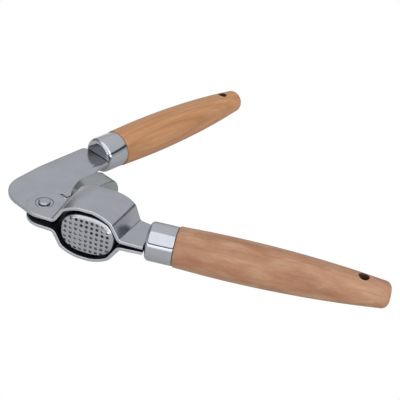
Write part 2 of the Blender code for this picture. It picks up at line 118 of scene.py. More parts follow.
# Handles
HANDLE_TURN = {"front": radians(5.28), "rear": radians(64.84)}
SLOT_HALF_HEIGHT = {"front": TANG_Z * MM + GAP, "rear": 1.25 * MM}
TONGUE_HALF_WIDTH = 7.0 * MM
FERRULE_WALL = 1.0 * MM
FERRULE_NOSE = 2.4 * MM
DRAWN_RIM = ((0.3, 0), (0.1, 0.08), (0, 0.3))            # mm, back from the rim and drawn in
WOOD_RADII = (11.1, 11.78, 11.72, 10.9, 9.32, 6.95)      # mm, at even steps along the grip
WOOD_END_RADIUS = 4.0 * MM
WOOD_LEAD = 0.6 * MM                 # from the shoulder to the first step of the profile
PITH = (0, 26 * MM, -9 * MM)         # centre of the growth rings, from the handle's axis
HANG_HOLE_RADIUS = 2.65 * MM
HANG_HOLE_FROM_END = 15.3 * MM

# Lever and plunger, in millimetres along and square to the rear handle
LEVER_OFFSET = 23.9
TONGUE_LENGTH = 6.2
FERRULE_START = 60.3
HUB_RADIUS = 8.9
PIVOT = (30.0, -4.0)
PIN_RADIUS = 1.5 * MM
PLUNGER_FACE = -12.5
PLUNGER_BACK = -1.0
PLUNGER_NEAR = 16.5
PLUNGER_FAR = 44.0
PLUNGER_HALF_HEIGHT = 10.9
PLUNGER_WALL = 1.0
PLUNGER_BEND = 1.5

# Stage
FLOOR_HALF = 3.0
FLOOR_DROP = 0.05 * MM               # keeps the paper clear of the part's resting face
CAMERA_PLACE = (0.13619, -0.36082, 0.29256)
CAMERA_TURN = (radians(56.363), radians(-7.225), radians(17.273))
CAMERA_LENS = 78.94                  # mm, for a sensor 36 mm wide


# ---------------------------------------------------------------- places in the frame

def joint_place(name):
    joint = next(j for j in frame["joints"] if j["name"] == name)
    return Vector(joint["pos_m"])


def centre(node):
    low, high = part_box(node)
    return (low + high) / 2


def span(node, axes):
    """Lowest and highest corner of a CAD node, measured along the axes of a matrix."""
    inverse = axes.inverted()
    points = [inverse @ vertex.co for vertex in frame["nodes"][node].data.vertices]
    low = Vector(min(p[k] for p in points) for k in range(3))
    high = Vector(max(p[k] for p in points) for k in range(3))
    return low, high


def handle_axes(word):
    """Axes with X along a handle, centred on the steel rod inside it."""
    return Matrix.Translation(centre(word + "_tang_rod")) @ Matrix.Rotation(HANDLE_TURN[word], 4, "Z")


HINGE_AXES = Matrix.Translation(joint_place("arm_hinge"))
LEVER_AXES = HINGE_AXES @ Matrix.Rotation(HANDLE_TURN["rear"], 4, "Z")
PLUNGER_AXES = Matrix.Translation(joint_place("plunger_pivot")) @ Matrix.Rotation(HANDLE_TURN["rear"], 4, "Z")


# ---------------------------------------------------------------- mesh tools

def loft(rings):
    """A closed body through rings with equal numbers of points, capped at both ends."""
    bm = bmesh.new()
    loops = [[bm.verts.new(point) for point in ring] for ring in rings]
    count = len(loops[0])
    for lower, upper in zip(loops, loops[1:]):
        for i in range(count):
            j = (i + 1) % count
            bm.faces.new((lower[i], lower[j], upper[j], upper[i]))
    bm.faces.new(loops[0])
    bm.faces.new(loops[-1])
    return bm


def turned(profile, steps=96):
    """A solid of revolution about X, from (x, radius) pairs."""
    angles = [2 * pi * i / steps for i in range(steps)]
    return loft([[(x, r * cos(t), r * sin(t)) for t in angles] for x, r in profile])


def turned_upright(profile, middle=(0, 0), steps=64):
    """A solid of revolution about an upright axis, from (z, radius) pairs."""
    angles = [2 * pi * (i + 0.5) / steps for i in range(steps)]
    return loft([[(middle[0] + r * cos(t), middle[1] + r * sin(t), z) for t in angles] for z, r in profile])


def ring_upright(inner, outer, bottom, top, edge=0.12 * MM, steps=64):
    """A ring about Z with a bore and chamfered rims."""
    section = [(inner, bottom + edge), (inner + edge, bottom), (outer - edge, bottom), (outer, bottom + edge),
               (outer, top - edge), (outer - edge, top), (inner + edge, top), (inner, top - edge)]
    bm = bmesh.new()
    angles = [2 * pi * i / steps for i in range(steps)]
    loops = [[bm.verts.new((r * cos(t), r * sin(t), z)) for t in angles] for r, z in section]
    for first, second in zip(loops, loops[1:] + loops[:1]):
        for i in range(steps):
            j = (i + 1) % steps
            bm.faces.new((first[i], first[j], second[j], second[i]))
    return bm


def box(low, high):
    bm = bmesh.new()
    bmesh.ops.create_cube(bm, size=1.0)
    middle = (Vector(low) + Vector(high)) / 2
    size = Vector(high) - Vector(low)
    bmesh.ops.transform(bm, matrix=Matrix.Translation(middle) @ Matrix.Diagonal((*size, 1)), verts=bm.verts)
    return bm


def arc(middle, radius, start, end, steps):
    """Points along an arc in a plane, both ends included."""
    angles = [start + (end - start) * i / steps for i in range(steps + 1)]
    return [(middle[0] + radius * cos(t), middle[1] + radius * sin(t)) for t in angles]


def fillet(before, corner, after, radius, steps=10):
    """The rounded corner between two straight runs, as points."""
    corner = Vector(corner)
    back = (Vector(before) - corner).normalized()
    ahead = (Vector(after) - corner).normalized()
    half = back.angle(ahead) / 2
    middle = corner + (back + ahead).normalized() * radius / sin(half)
    start = corner + back * radius / tan(half) - middle
    end = corner + ahead * radius / tan(half) - middle
    first = atan2(start.y, start.x)
    sweep = (atan2(end.y, end.x) - first + pi) % (2 * pi) - pi
    return arc(middle, radius, first, first + sweep, steps)


def rounded(corners, steps=10):
    """A closed outline from (x, y, radius) corners."""
    points = []
    for i, (x, y, radius) in enumerate(corners):
        before, after = corners[i - 1][:2], corners[(i + 1) % len(corners)][:2]
        points += fillet(before, (x, y), after, radius, steps) if radius else [(x, y)]
    return points


def inset(outline, distance):
    """An anticlockwise outline moved inwards by a distance, corner by corner."""
    moved = []
    for i, point in enumerate(outline):
        here = Vector(point)
        before = (here - Vector(outline[i - 1])).normalized()
        after = (Vector(outline[(i + 1) % len(outline)]) - here).normalized()
        inward = Vector((-before.y - after.y, before.x + after.x))
        moved.append(tuple(here + inward * distance / (1 + before.dot(after))))
    return moved


def soft_plate(outline, bottom, top, edge=EDGE):
    """A plate from an anticlockwise outline, with rounded rims."""
    turns = [radians(a) for a in (0, 30, 60, 90)]
    levels = [(edge * (1 - sin(t)), bottom + edge * (1 - cos(t))) for t in turns]
    levels += [(edge * (1 - sin(t)), top - edge * (1 - cos(t))) for t in reversed(turns)]
    return loft([[(x, y, z) for x, y in inset(outline, drawn_in)] for drawn_in, z in levels])


def oval(middle_x, half_width, half_height, steps=112):
    """A superellipse in X and Z, as (x, z) pairs."""
    points = []
    for i in range(steps):
        t = 2 * pi * i / steps
        reach = abs(cos(t) / half_width) ** OVAL_POWER + abs(sin(t) / half_height) ** OVAL_POWER
        reach **= -1 / OVAL_POWER
        points.append((middle_x + reach * cos(t), reach * sin(t)))
    return points


def new_object(name, bm):
    bmesh.ops.recalc_face_normals(bm, faces=bm.faces)
    mesh = bpy.data.meshes.new(name)
    bm.to_mesh(mesh)
    bm.free()
    obj = bpy.data.objects.new(name, mesh)
    bpy.context.scene.collection.objects.link(obj)
    return obj


def cut(obj, *cutters, material=None):
    """Cuts shapes away with exact Booleans; the walls left by the cut may have their own material."""
    for bm in cutters:
        cutter = new_object("cutter", bm)
        if material:
            cutter.data.materials.append(material)
        modifier = obj.modifiers.new("cut", "BOOLEAN")
        modifier.operation = "DIFFERENCE"
        modifier.solver = "EXACT"
        modifier.object = cutter
        modifier.material_mode = "TRANSFER" if material else "INDEX"
        evaluated = obj.evaluated_get(bpy.context.evaluated_depsgraph_get())
        mesh = bpy.data.meshes.new_from_object(evaluated)
        obj.modifiers.clear()
        obj.data = mesh
        bpy.data.objects.remove(cutter)


def place(obj, axes, material, body, sharp_angle=radians(35)):
    """Moves the mesh into the frame, smooths it, paints it if asked and lets it ride on its body."""
    obj.data.transform(axes)
    obj.data.shade_smooth()
    obj.data.set_sharp_from_angle(angle=sharp_angle)
    if material:
        obj.data.materials.clear()
        obj.data.materials.append(material)
    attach(obj, body)
    return obj


# ---------------------------------------------------------------- materials

def new_material(name, metallic):
    mat = bpy.data.materials.new(name)
    mat.use_nodes = True
    shader = mat.node_tree.nodes["Principled BSDF"]
    shader.inputs["Metallic"].default_value = metallic
    return mat, mat.node_tree, shader


def texture_space(tree, axes, size):
    """Coordinates along a matrix's axes, counted in steps of the given size."""
    coordinates = tree.nodes.new("ShaderNodeTexCoord")
    mapping = tree.nodes.new("ShaderNodeMapping")
    mapping.vector_type = "TEXTURE"
    mapping.inputs["Location"].default_value = axes.translation
    mapping.inputs["Rotation"].default_value = axes.to_euler()
    mapping.inputs["Scale"].default_value = size
    tree.links.new(coordinates.outputs["Object"], mapping.inputs["Vector"])
    return mapping.outputs["Vector"]


def noise(tree, space, detail=3.0, roughness=0.5, output="Fac"):
    node = tree.nodes.new("ShaderNodeTexNoise")
    node.inputs["Scale"].default_value = 1
    node.inputs["Detail"].default_value = detail
    node.inputs["Roughness"].default_value = roughness
    tree.links.new(space, node.inputs["Vector"])
    return node.outputs[output]


def ramp(tree, factor, stops):
    """Colours along a factor, from (position, colour) stops."""
    node = tree.nodes.new("ShaderNodeValToRGB")
    elements = node.color_ramp.elements
    for position, _ in stops[1:-1]:
        elements.new(position)
    elements[0].position = stops[0][0]
    elements[len(stops) - 1].position = stops[-1][0]
    for element, (_, colour) in zip(elements, stops):
        element.color = (*colour, 1)
    tree.links.new(factor, node.inputs["Fac"])
    return node.outputs["Color"]


def spread(tree, factor, low, high):
    """A noise's middle range stretched over low to high."""
    node = tree.nodes.new("ShaderNodeMapRange")
    for socket, value in (("From Min", 0.3), ("From Max", 0.7), ("To Min", low), ("To Max", high)):
        node.inputs[socket].default_value = value
    tree.links.new(factor, node.inputs["Value"])
    return node.outputs["Result"]


def blend(tree, mode, amount, first, second):
    node = tree.nodes.new("ShaderNodeMix")
    node.data_type = "RGBA"
    node.blend_type = mode
    node.inputs["Factor"].default_value = amount
    tree.links.new(first, node.inputs["A"])
    tree.links.new(second, node.inputs["B"])
    return node.outputs["Result"]


def mixed(tree, factor, first, second):
    """A plain mix of two colours by a linked factor."""
    node = tree.nodes.new("ShaderNodeMix")
    node.data_type = "RGBA"
    tree.links.new(factor, node.inputs["Factor"])
    tree.links.new(first, node.inputs["A"])
    tree.links.new(second, node.inputs["B"])
    return node.outputs["Result"]


def fade(tree, value, start, end):
    """Zero at start, one at end."""
    node = tree.nodes.new("ShaderNodeMapRange")
    node.inputs["From Min"].default_value = start
    node.inputs["From Max"].default_value = end
    tree.links.new(value, node.inputs["Value"])
    return node.outputs["Result"]


def shade(tree, level):
    node = tree.nodes.new("ShaderNodeRGB")
    node.outputs["Color"].default_value = (level, level, level, 1)
    return node.outputs["Color"]


def bump(tree, height, depth, shader):
    node = tree.nodes.new("ShaderNodeBump")
    node.inputs["Distance"].default_value = depth
    tree.links.new(height, node.inputs["Height"])
    tree.links.new(node.outputs["Normal"], shader.inputs["Normal"])


def tinted(colour, factor):
    return tuple(channel * factor for channel in colour)


def steel(name, axes, colour, roughness, scratch_depth=0.00025 * MM):
    """Polished steel: faint cloudy tone, smears in the gloss and fine polishing lines along X."""
    mat, tree, shader = new_material(name, 1.0)
    clouds = noise(tree, texture_space(tree, axes, (14 * MM, 9 * MM, 9 * MM)))
    tone = ramp(tree, clouds, ((0.3, tinted(colour, 0.95)), (0.7, tinted(colour, 1.04))))
    tree.links.new(tone, shader.inputs["Base Color"])
    smears = noise(tree, texture_space(tree, axes, (6 * MM, 2.5 * MM, 2.5 * MM)), 4.0, 0.6)
    tree.links.new(spread(tree, smears, *roughness), shader.inputs["Roughness"])
    lines = noise(tree, texture_space(tree, axes, (5 * MM, 0.16 * MM, 0.16 * MM)), 2.0)
    bump(tree, lines, scratch_depth, shader)
    return mat


def wood(name, axes, colours, figure, wander, ring_width):
    """Oiled turned wood: soft cloudy figure, fibres and growth rings along X, pores and small flecks."""
    mat, tree, shader = new_material(name, 0.0)
    drift = noise(tree, texture_space(tree, axes, (24 * MM, 10 * MM, 10 * MM)), 2.0, output="Color")
    shift = tree.nodes.new("ShaderNodeVectorMath")
    shift.operation = "MULTIPLY_ADD"
    shift.inputs[1].default_value = (0.4, wander, wander)
    tree.links.new(drift, shift.inputs[0])
    tree.links.new(texture_space(tree, axes, figure), shift.inputs[2])
    clouds = noise(tree, shift.outputs["Vector"], 4.0, 0.55)
    dark, middle, light = colours
    tone = ramp(tree, clouds, ((0.34, dark), (0.5, middle), (0.66, light)))

    fibres = noise(tree, texture_space(tree, axes, (30 * MM, 0.9 * MM, 0.9 * MM)), 4.0, 0.6)
    fibre_tone = ramp(tree, fibres, ((0.3, (0.86, 0.84, 0.82)), (0.5, (1, 1, 1)), (0.7, (1.08, 1.08, 1.08))))
    tone = blend(tree, "MULTIPLY", 0.55, tone, fibre_tone)

    rings = tree.nodes.new("ShaderNodeTexWave")
    rings.wave_type = "RINGS"
    rings.rings_direction = "X"
    pith = axes @ Matrix.Translation(PITH)
    tree.links.new(texture_space(tree, pith, (120 * MM, ring_width, ring_width)), rings.inputs["Vector"])
    rings.inputs["Scale"].default_value = 0.314          # one ring for each ring width
    rings.inputs["Distortion"].default_value = 1.3 * wander
    rings.inputs["Detail Scale"].default_value = 1.2
    ring_stops = ((0.0, (1.12, 1.16, 1.2)), (0.12, (1, 1, 1)), (0.8, (0.98, 0.97, 0.96)),
                  (1.0, (0.85, 0.81, 0.78)))
    tone = blend(tree, "MULTIPLY", 0.75, tone, ramp(tree, rings.outputs["Fac"], ring_stops))

    flecks = noise(tree, texture_space(tree, axes, (2.6 * MM, 0.3 * MM, 0.3 * MM)), 2.0)
    fleck_tone = ramp(tree, flecks, ((0.28, (0.78, 0.72, 0.68)), (0.42, (1, 1, 1)), (0.72, (1.0, 1.0, 1.0))))
    tone = blend(tree, "MULTIPLY", 0.8, tone, fleck_tone)
    tree.links.new(tone, shader.inputs["Base Color"])
    tree.links.new(spread(tree, clouds, 0.42, 0.56), shader.inputs["Roughness"])
    bump(tree, flecks, 0.03 * MM, shader)
    return mat


STEEL_TONE = (0.39, 0.4, 0.425)


def make_materials():
    mats = {"shell": steel("shell_steel", HINGE_AXES, STEEL_TONE, (0.14, 0.22)),
            "cup": steel("cup_steel", HINGE_AXES, tinted(STEEL_TONE, 1.1), (0.2, 0.28)),
            "lever": steel("lever_steel", LEVER_AXES, STEEL_TONE, (0.12, 0.2)),
            "plunger": steel("plunger_steel", PLUNGER_AXES, (0.33, 0.35, 0.35), (0.2, 0.28)),
            # rim: steel made lighter than the rest, a painted highlight along the cut edges of the strips
            "rim": steel("painted_highlight_rim_steel", HINGE_AXES, tinted(STEEL_TONE, 1.3), (0.28, 0.38), 0.001 * MM),
            # inner: steel at a fifth of the tone, painted shade for the strips' inner faces, the cup's hole
            # walls and the parts between and inside others
            "inner": steel("inner_steel", HINGE_AXES, tinted(STEEL_TONE, 0.2), (0.4, 0.5), 0.001 * MM)}
    for word in HANDLE_TURN:
        mats[word + "_ferrule"] = steel(word + "_ferrule_steel", handle_axes(word), tinted(STEEL_TONE, 1.15),
                                        (0.07, 0.12), 0.0001 * MM)
    pink = ((0.3, 0.132, 0.064), (0.352, 0.174, 0.091), (0.395, 0.225, 0.13))
    orange = ((0.375, 0.172, 0.066), (0.415, 0.198, 0.082), (0.455, 0.226, 0.1))
    # near black wood: painted shade for the walls of the hanging holes
    bore = ((0.05, 0.025, 0.018), (0.07, 0.036, 0.026), (0.09, 0.048, 0.035))
    wavy, straight = (20 * MM, 6 * MM, 6 * MM), (46 * MM, 3 * MM, 3 * MM)
    mats["front_wood"] = wood("front_wood", handle_axes("front"), pink, wavy, 2.4, 4.5 * MM)
    mats["rear_wood"] = wood("rear_wood", handle_axes("rear"), orange, straight, 1.0, 2.2 * MM)
    mats["painted_shade_bore_wood"] = wood("painted_shade_bore_wood", handle_axes("front"), bore, straight, 1.0, 2.2 * MM)
    return mats


# ---------------------------------------------------------------- front strips

def crossing(first, first_slope, second, second_slope):
    """Where two straight lines meet, each given by a point and its slope angle."""
    run = Vector((cos(first_slope), sin(first_slope)))
    other = Vector((cos(second_slope), sin(second_slope)))
    offset = Vector(second) - Vector(first)
    along = (offset.x * other.y - offset.y * other.x) / (run.x * other.y - run.y * other.x)
    return tuple(Vector(first) + run * along)


def strip_line():
    """The strip's outer line in X and Z, from the ear's tip to the tongue's end, in millimetres."""
    up = pi / 2
    left = arc(CREST, CREST_RADIUS, up - CREST_START, up + LAND_HALF_ANGLE, 22)
    right = arc(CREST, CREST_RADIUS, up - LAND_HALF_ANGLE, up - CREST_END, 22)
    near_fold = crossing(NEAR_RAMP_POINT, NEAR_RAMP_ANGLE, (0, EAR_Z), 0)
    near_shoulder = crossing(NEAR_RAMP_POINT, NEAR_RAMP_ANGLE, left[0], -CREST_START)
    far_shoulder = crossing(right[-1], -CREST_END, RAMP_TOP, -RAMP_ANGLE)
    tang_fold = crossing(RAMP_TOP, -RAMP_ANGLE, (0, TANG_FOLD_Z), 0)
    tang_end = (TANG_LENGTH, TANG_Z)
    line = [(EAR_X - EAR_RADIUS, EAR_Z), (EAR_X, EAR_Z)]
    line += fillet(line[-1], near_fold, near_shoulder, EAR_FOLD_RADIUS)
    line += fillet(near_fold, near_shoulder, left[0], SHOULDER_RADIUS) + left + right
    line += fillet(right[-1], far_shoulder, tang_fold, SHOULDER_RADIUS)
    line += fillet(far_shoulder, tang_fold, tang_end, TANG_FOLD_RADIUS)
    return [Vector(point) for point in line + [tang_end]]


def along_stops(x, stops):
    """Straight runs between (x, value) stops."""
    for (x0, v0), (x1, v1) in zip(stops, stops[1:]):
        if x <= x1:
            return v0 + (v1 - v0) * (x - x0) / (x1 - x0)
    return stops[-1][1]


def back_shift(x):
    """The far end of the strip's back edge bulges over the cup and draws in again at the tongue."""
    stops = ((EAR_X - EAR_RADIUS, 0), (26, 0), (34, 5.2), (46, 4.6), (49, 3.4), (TANG_LENGTH, -1.95))
    return along_stops(x, stops)


def strip_outline():
    """The strip's outline in X and Y, anticlockwise from the ear's tip."""
    front = arc((EAR_X, 0), EAR_RADIUS, pi, 3 * pi / 2, 28)
    front += [(14, STRIP_FRONT), (TAPER_START, STRIP_FRONT), (TANG_LENGTH, TANG_FRONT)]
    back = [(TANG_LENGTH, TANG_BACK), (TAPER_START, 10.2), (40, STRIP_BACK)]
    back += fillet((40, STRIP_BACK), (NOTCH_X + 1.2, STRIP_BACK), (NOTCH_X, 8.8), 0.8, 6)
    back += arc((0, 0), HEEL_RADIUS, acos(NOTCH_X / HEEL_RADIUS), acos(HEEL_START / HEEL_RADIUS), 20)
    back += arc((EAR_X, 0), EAR_RADIUS, acos((HEEL_START - EAR_X) / EAR_RADIUS), pi, 28)[1:-1]
    return front + back


def front_shell(name, side, materials):
    """One pressed strip: a flat blank with rounded rims, bent along the strip's line."""
    line = strip_line()
    runs = [0.0]
    for before, after in zip(line, line[1:]):
        runs.append(runs[-1] + (after - before).length)
    directions = [(after - before).normalized() for before, after in zip(line, line[1:])]
    directions.append(directions[-1])
    normals = []
    for i, direction in enumerate(directions):
        before = directions[max(i - 1, 0)]
        middle = (before + direction).normalized()
        normals.append(Vector((-middle.y, middle.x)) / middle.dot(direction))

    def run_at(x):
        return along_stops(x, [(point.x, run) for point, run in zip(line, runs)])

    def bent(run, y, height):
        k = next((i for i in range(len(runs) - 2) if run <= runs[i + 1]), len(runs) - 2)
        share = (run - runs[k]) / (runs[k + 1] - runs[k])
        point = line[k].lerp(line[k + 1], share) + normals[k].lerp(normals[k + 1], share) * height
        across = (y - STRIP_FRONT) / (STRIP_BACK - STRIP_FRONT)
        shift = back_shift(line[k].lerp(line[k + 1], share).x) * min(max(across, 0), 1)
        return Vector((point.x + shift, y, side * point.y)) * MM

    blank = [(run_at(x), y) for x, y in strip_outline()]
    bm = soft_plate(blank, -SHEET, 0, EDGE / MM)
    flat = 0.01
    # The rim faces take the painted highlight steel and the inner faces the painted shade steel.
    for face in bm.faces:            # 0 is the outer face, 1 the rim and 2 the inner face
        height = face.calc_center_median().z
        face.material_index = 0 if height > -flat else 2 if height < flat - SHEET else 1
    for run in runs[1:-1]:
        everything = bm.verts[:] + bm.edges[:] + bm.faces[:]
        bmesh.ops.bisect_plane(bm, geom=everything, dist=1e-5, plane_co=(run, 0, 0), plane_no=(1, 0, 0))
    for vertex in bm.verts:
        vertex.co = bent(*vertex.co)
    obj = new_object(name, bm)
    for material in materials:
        obj.data.materials.append(material)
    reach = (EAR_Z + 1) * MM
    low, high = sorted((side * (EAR_Z - SHEET - 1) * MM, side * reach))
    seat_low, seat_high = sorted((side * (EAR_Z - SEAT_DEPTH) * MM, side * reach))
    cut(obj, turned_upright(((low, RIVET_BORE), (high, RIVET_BORE))),
        turned_upright(((seat_low, SEAT_RADIUS * MM), (seat_high, SEAT_RADIUS * MM))))
    return place(obj, HINGE_AXES, None, "front_arm", radians(30))


# ---------------------------------------------------------------- perforated cup

def strainer_cup(material, shaded_hole_material):
    """The drawn cup, open at the back, with its perforated floor at the front."""
    low, high = span("strainer_cup", HINGE_AXES)
    face, mouth = low.y, high.y
    half_height = (high.z - low.z) / 2
    half_width = (high.x - low.x) / 2 - CUP_DRAFT
    middle_x = low.x + half_width

    def ring(y, drawn_in):
        spread_out = CUP_DRAFT * (y - face) / (mouth - face)
        section = oval(middle_x + spread_out, half_width + spread_out - drawn_in, half_height - drawn_in)
        return [(x, y, z) for x, z in section]

    inner_bend = CUP_BEND - CUP_WALL
    floor = face + CUP_WALL
    turns = [radians(90 * i / 8) for i in range(9)]
    rings = [ring(face + CUP_BEND * (1 - cos(t)), CUP_BEND * (1 - sin(t))) for t in turns]
    rings += [ring(mouth - back * MM, drawn_in * MM) for back, drawn_in in DRAWN_RIM]
    rings += [ring(mouth, CUP_WALL - 0.15 * MM), ring(mouth - 0.15 * MM, CUP_WALL)]
    for t in reversed(turns):
        rings.append(ring(floor + inner_bend * (1 - cos(t)), CUP_WALL + inner_bend * (1 - sin(t))))
    obj = new_object("strainer_cup_visual", loft(rings))
    obj.data.materials.append(material)
    # the hole walls take the painted shade steel, dark as if the holes were in shadow
    cut(obj, perforations(middle_x, face), material=shaded_hole_material)
    return place(obj, HINGE_AXES, None, "front_arm")


def perforations(middle_x, face, steps=20):
    """All the hole cutters as one set of short rods along Y; the grid's four corners have none."""
    bm = bmesh.new()
    for column in range(HOLE_COLUMNS):
        for row in range(HOLE_ROWS):
            if column in (0, HOLE_COLUMNS - 1) and row in (0, HOLE_ROWS - 1):
                continue
            x = middle_x + (column - (HOLE_COLUMNS - 1) / 2) * HOLE_PITCH
            z = (row - (HOLE_ROWS - 1) / 2) * HOLE_PITCH
            turns = [2 * pi * i / steps for i in range(steps)]
            ends = [[bm.verts.new((x + HOLE_RADIUS * cos(t), y, z + HOLE_RADIUS * sin(t))) for t in turns]
                    for y in (face - 1 * MM, face + CUP_WALL + 1 * MM)]
            bm.faces.new(ends[0])
            bm.faces.new(ends[1])
            for i in range(steps):
                j = (i + 1) % steps
                bm.faces.new((ends[0][i], ends[0][j], ends[1][j], ends[1][i]))
    return bm


# ---------------------------------------------------------------- handles

def ferrule(word, material, body):
    """A drawn steel cap with a rounded nose, slotted for the tongue."""
    axes = handle_axes(word)
    low, high = span(word + "_ferrule", axes)
    start, end, radius = low.x, high.x, high.z
    inner = radius - FERRULE_WALL
    inner_nose = FERRULE_NOSE - FERRULE_WALL
    profile = arc((start + FERRULE_NOSE, radius - FERRULE_NOSE), FERRULE_NOSE, pi, pi / 2, 14)
    profile += [(end - back * MM, radius - drawn_in * MM) for back, drawn_in in DRAWN_RIM]
    profile += [(end, inner)]
    profile += arc((start + FERRULE_NOSE, inner - inner_nose), inner_nose, pi / 2, pi, 8)
    obj = new_object(word + "_ferrule_visual", turned(profile))
    width = TONGUE_HALF_WIDTH + GAP
    height = SLOT_HALF_HEIGHT[word]
    cut(obj, box((start - 1 * MM, -width, -height), (start + FERRULE_WALL + 1 * MM, width, height)))
    place(obj, axes, material, body)
    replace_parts(obj, word + "_ferrule")
    return obj


def wood_radius(t):
    """The turned profile, a smooth curve through its radii; t runs from 0 to 1."""
    last = len(WOOD_RADII) - 1
    i = min(int(t * last), last - 1)
    u = t * last - i
    p1, p2 = WOOD_RADII[i], WOOD_RADII[i + 1]
    p0 = WOOD_RADII[i - 1] if i else 2 * p1 - p2
    p3 = WOOD_RADII[i + 2] if i + 2 <= last else 2 * p2 - p1
    slope1, slope2 = (p2 - p0) / 2, (p3 - p1) / 2
    value = ((2 * u ** 3 - 3 * u ** 2 + 1) * p1 + (u ** 3 - 2 * u ** 2 + u) * slope1
             + (3 * u ** 2 - 2 * u ** 3) * p2 + (u ** 3 - u ** 2) * slope2)
    return value * MM


def wooden_handle(word, material, shaded_bore_material, body):
    """The turned grip with its shoulder, belly, rounded end and softened hanging hole."""
    axes = handle_axes(word)
    ferrule_high = span(word + "_ferrule", axes)[1]
    low, high = span(word + "_handle", axes)
    start, end = ferrule_high.x + GAP, high.x
    length = end - start
    spigot = ferrule_high.z - FERRULE_WALL - GAP
    stations = [WOOD_LEAD + (length - WOOD_END_RADIUS - WOOD_LEAD) * i / 72 for i in range(73)]
    shoulder = wood_radius(0)
    profile = [(low.x, spigot), (start, spigot), (start, shoulder - 0.5 * MM)]
    profile += [(start + 0.1 * MM, shoulder - 0.28 * MM), (start + 0.28 * MM, shoulder - 0.1 * MM)]
    profile += [(start + x, wood_radius(x / length)) for x in stations]
    x, radius = profile[-1]
    profile += [(x + WOOD_END_RADIUS * sin(t), radius - WOOD_END_RADIUS * (1 - cos(t)))
                for t in (radians(90 * i / 12) for i in range(1, 13))]
    obj = new_object(word + "_handle_visual", turned(profile))
    obj.data.materials.append(material)
    hole_x = end - HANG_HOLE_FROM_END
    surface = wood_radius((hole_x - start) / length)
    mouth = HANG_HOLE_RADIUS + 0.4 * MM
    half = ((surface - 1.1 * MM, HANG_HOLE_RADIUS), (surface - 0.6 * MM, HANG_HOLE_RADIUS + 0.05 * MM),
            (surface - 0.2 * MM, HANG_HOLE_RADIUS + 0.2 * MM), (surface + 0.1 * MM, mouth),
            (surface + 3 * MM, mouth + 1 * MM))
    hole = [(-z, r) for z, r in reversed(half)] + list(half)
    # the hanging hole's walls take the near black wood, painted shade
    cut(obj, turned_upright(hole, (hole_x, 0), 48), material=shaded_bore_material)
    place(obj, axes, None, body, radians(50))
    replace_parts(obj, word + "_handle")
    return obj


# ---------------------------------------------------------------- lever and plunger

def lever_outline():
    """The flat lever in millimetres along and square to the rear handle, anticlockwise."""
    tongue = (LEVER_OFFSET - TONGUE_HALF_WIDTH / MM, LEVER_OFFSET + TONGUE_HALF_WIDTH / MM)
    shoulder = FERRULE_START - GAP / MM
    end = FERRULE_START + TONGUE_LENGTH
    cup_slot = ((12.8, -1.2, 1.5), (13.6, 4.8, 0.8), (16.2, 4.8, 0.8), (16.6, 0.2, 0.6), (20.6, 0.2, 1))
    inner = cup_slot + ((25.0, -8.6, 4), (35.0, -8.6, 4), (41.0, 8.0, 6), (52.0, 12.6, 8),
                        (shoulder, 13.9, 0.8))
    tip = ((shoulder, tongue[0], 0), (end, tongue[0], 1.5), (end, tongue[1], 1.5), (shoulder, tongue[1], 0))
    outer = ((shoulder, 35.3, 2.6), (24.0, 34.2, 60), (-8.6, 29.7, 18))
    hub = tuple((*point, 0) for point in arc((0, 0), HUB_RADIUS, radians(176), radians(352), 40))
    return [(a * MM, n * MM) for a, n in rounded(inner + tip + outer + hub, 14)]


def lever(material):
    """The flat lever, bored for the hinge bush and for the plunger's pin."""
    low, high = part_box("rear_plate")
    half = (high.z - low.z) / 2
    obj = new_object("lever_visual", soft_plate(lever_outline(), -half, half, 0.3 * MM))
    reach = half + 1 * MM
    bush = span("hinge_bush", HINGE_AXES)[1].x + GAP
    pin = PIN_RADIUS + GAP
    cut(obj, turned_upright(((-reach, bush), (reach, bush))),
        turned_upright(((-reach, pin), (reach, pin)), (PIVOT[0] * MM, PIVOT[1] * MM), 40))
    place(obj, LEVER_AXES, material, "rear_arm")
    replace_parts(obj, "rear_plate")
    return obj


def plunger_ring(n, drawn_in):
    """The plunger's outline at one height, about its pivot."""
    near = PLUNGER_NEAR + max((n - PLUNGER_FACE) / (PLUNGER_BACK - PLUNGER_FACE), 0)
    middle = (near + PLUNGER_FAR) / 2
    section = oval(middle, (PLUNGER_FAR - near) / 2 - drawn_in, PLUNGER_HALF_HEIGHT - drawn_in)
    return [(a * MM - PIVOT[0] * MM, n * MM - PIVOT[1] * MM, z * MM) for a, z in section]


def plunger_cap(material):
    """The drawn pressing cap, open towards the lever."""
    bend, inner_bend = PLUNGER_BEND, PLUNGER_BEND - PLUNGER_WALL
    floor = PLUNGER_FACE + PLUNGER_WALL
    turns = [radians(90 * i / 8) for i in range(9)]
    rings = [plunger_ring(PLUNGER_FACE + bend * (1 - cos(t)), bend * (1 - sin(t))) for t in turns]
    rings += [plunger_ring(PLUNGER_BACK - 0.3, 0), plunger_ring(PLUNGER_BACK - 0.09, 0.09),
              plunger_ring(PLUNGER_BACK, 0.3), plunger_ring(PLUNGER_BACK, PLUNGER_WALL - 0.2),
              plunger_ring(PLUNGER_BACK - 0.2, PLUNGER_WALL)]
    rings += [plunger_ring(floor + inner_bend * (1 - cos(t)), PLUNGER_WALL + inner_bend * (1 - sin(t)))
              for t in reversed(turns)]
    obj = new_object("plunger_cap_visual", loft(rings))
    place(obj, PLUNGER_AXES, material, "plunger")
    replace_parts(obj, "plunger_cap")
    return obj


def plunger_pin(material):
    """The pivot pin, headed over at both ends."""
    high = span("plunger_pin", PLUNGER_AXES)[1]
    top, wide, shank = high.z, high.x, PIN_RADIUS
    face = top - 0.9 * MM
    half = ((face, shank), (face, wide), (top - 0.35 * MM, wide), (top - 0.12 * MM, wide - 0.2 * MM),
            (top, wide - 0.6 * MM))
    profile = [(-z, r) for z, r in reversed(half)] + list(half)
    obj = new_object("plunger_pin_visual", turned_upright(profile, steps=40))
    place(obj, PLUNGER_AXES, material, "plunger")
    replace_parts(obj, "plunger_pin")
    return obj


# ---------------------------------------------------------------- hinge

